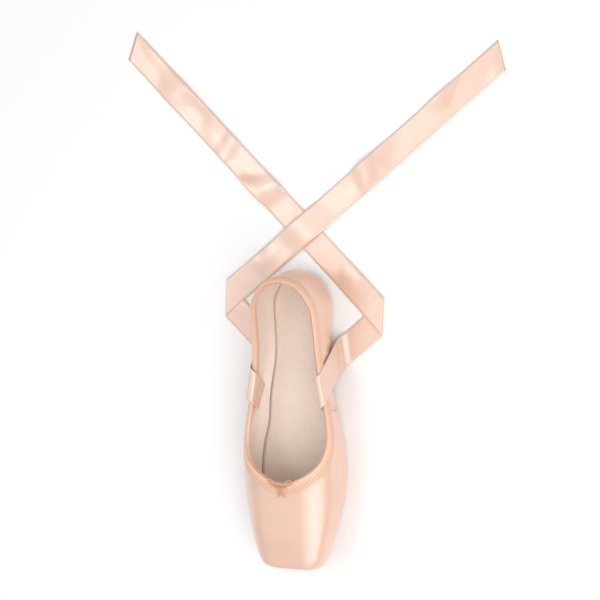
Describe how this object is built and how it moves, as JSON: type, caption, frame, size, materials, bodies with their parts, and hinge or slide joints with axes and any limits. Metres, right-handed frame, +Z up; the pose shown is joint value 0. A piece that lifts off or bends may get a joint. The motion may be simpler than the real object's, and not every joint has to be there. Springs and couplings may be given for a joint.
{
  "type": "pointe shoe",
  "caption": "Ballet pointe shoe on a straight last: satin upper with a hard flat-tipped toe box, thin leather outsole, drawstring binding with a small bow and loose ankle ribbons.",
  "frame": {"origin": "on the floor under the middle of the shoe's own length and width, ribbons and drawstring left out", "axes": "+X from heel to toe, +Y across the shoe, +Z up from the floor"},
  "size_m": [0.432, 0.3227, 0.0574],
  "materials": {
    "satin": "peach shoe satin, soft directional gloss",
    "sole_leather": "thin pinkish split leather, roughened",
    "lining_cloth": "unbleached cotton drill",
    "binding_tape": "matt peach tape with two rows of stitches",
    "drawstring_cord": "thin braided cotton cord",
    "ribbon_satin": "peach satin ribbon with woven edges"
  },
  "bodies": {
    "root": {"upper": "satin", "outsole": "sole_leather", "insole": "lining_cloth", "binding": "binding_tape", "drawstring_knot": "drawstring_cord", "drawstring_loop_left": "drawstring_cord", "drawstring_end_left": "drawstring_cord", "drawstring_loop_right": "drawstring_cord", "drawstring_end_right": "drawstring_cord", "ribbon_left": "ribbon_satin", "ribbon_right": "ribbon_satin"}
  },
  "joints": []
}
